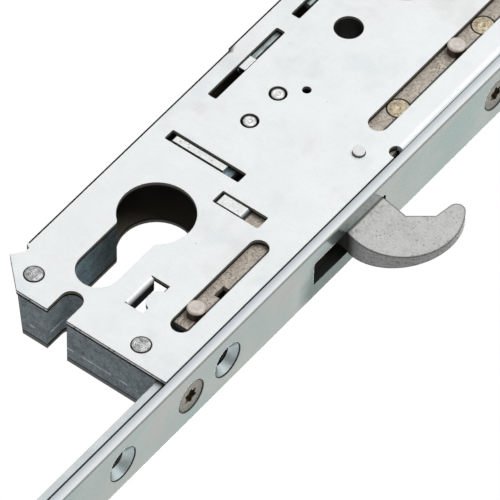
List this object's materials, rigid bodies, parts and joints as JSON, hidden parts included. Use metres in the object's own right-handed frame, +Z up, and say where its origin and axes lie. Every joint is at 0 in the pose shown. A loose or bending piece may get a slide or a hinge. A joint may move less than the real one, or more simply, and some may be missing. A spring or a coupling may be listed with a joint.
{
  "type": "multipoint door lock",
  "caption": "Narrow-stile multipoint door lock: a riveted sheet-steel case on a long faceplate, with a swinging hook, a latch, a key-cylinder opening, drive rails and roller cams.",
  "frame": {"origin": "on the key cylinder's axis, at mid-thickness of the case", "axes": "+X out of the door's edge through the faceplate, +Z up the door along the faceplate, -Y out of the cover plate's side"},
  "size_m": [0.0727, 0.016, 0.3926],
  "materials": {
    "faceplate_steel": "satin",
    "case_sheet": "zinc-plated satin",
    "block_casting": "raw casting",
    "rivet_steel": "hammered end",
    "slide_steel": "passivated, matt",
    "pin_steel": "turned",
    "rail_steel": "zinc-plated satin",
    "hook_steel": "sintered, matt",
    "screw_steel": "stainless",
    "hub_casting": "raw casting",
    "latch_steel": "satin",
    "roller_steel": "turned",
    "lug_steel": "zinc-plated satin"
  },
  "bodies": {
    "case": {"faceplate": "faceplate_steel", "cover_plate": "case_sheet", "base_plate": "case_sheet", "back_wall": "case_sheet", "lower_block": "block_casting", "upper_block": "block_casting", "case_rivets": "rivet_steel", "spacer_studs": "rivet_steel", "hook_pivot": "rivet_steel", "handle_tube_low": "rail_steel", "handle_tube_high": "rail_steel", "case_screw_low": "screw_steel", "case_screw_mid": "screw_steel", "case_screw_top": "screw_steel"},
    "drive": {"slide_bar": "slide_steel", "slide_link": "slide_steel", "slide_rivets": "rivet_steel", "lower_drive_pin": "pin_steel", "hub_drive_pin": "pin_steel", "hook_cam_pin": "pin_steel", "lower_rail": "rail_steel", "upper_rail": "rail_steel", "roller_stud_low": "pin_steel", "roller_stud_high": "pin_steel"},
    "hook_bolt": {"hook": "hook_steel"},
    "hub": {"follower_hub": "hub_casting", "hub_lever": "hub_casting"},
    "latch": {"latch_bolt": "latch_steel", "latch_tail": "slide_steel"},
    "deadlock": {"deadlock_slide": "lug_steel"},
    "changeover": {"changeover_bar": "lug_steel"},
    "low_roller": {"roller_low": "roller_steel"},
    "high_roller": {"roller_high": "roller_steel"}
  },
  "joints": [
    {"name": "drive_slide", "type": "slide", "parent": "case", "child": "drive", "axis": [0, 0, 1], "range_m": [0, 0.018]},
    {"name": "hook_swing", "type": "hinge", "parent": "case", "child": "hook_bolt", "pos_m": [0.0246, 0, 0.0422], "axis": [0, 1, 0], "range_deg": [0, 82.85]},
    {"name": "hub_turn", "type": "hinge", "parent": "case", "child": "hub", "pos_m": [0, 0, 0.092], "axis": [0, -1, 0], "range_deg": [0, 43.07]},
    {"name": "latch_slide", "type": "slide", "parent": "case", "child": "latch", "axis": [1, 0, 0], "range_m": [-0.011, 0]},
    {"name": "deadlock_shift", "type": "slide", "parent": "case", "child": "deadlock", "axis": [1, 0, 0], "range_m": [0, 0.003]},
    {"name": "changeover_shift", "type": "slide", "parent": "case", "child": "changeover", "axis": [0, 0, 1], "range_m": [0, 0.008]},
    {"name": "low_roller_spin", "type": "hinge", "parent": "drive", "child": "low_roller", "pos_m": [0.039, 0, -0.1046], "axis": [1, 0, 0], "continuous": true},
    {"name": "high_roller_spin", "type": "hinge", "parent": "drive", "child": "high_roller", "pos_m": [0.039, 0, 0.216], "axis": [1, 0, 0], "continuous": true}
  ],
  "couplings": [
    {"joint": "hook_swing", "follows": "drive_slide", "rad_per_m": 80.33},
    {"joint": "hub_turn", "follows": "drive_slide", "rad_per_m": 41.756},
    {"joint": "latch_slide", "follows": "drive_slide", "ratio": -0.6111}
  ]
}
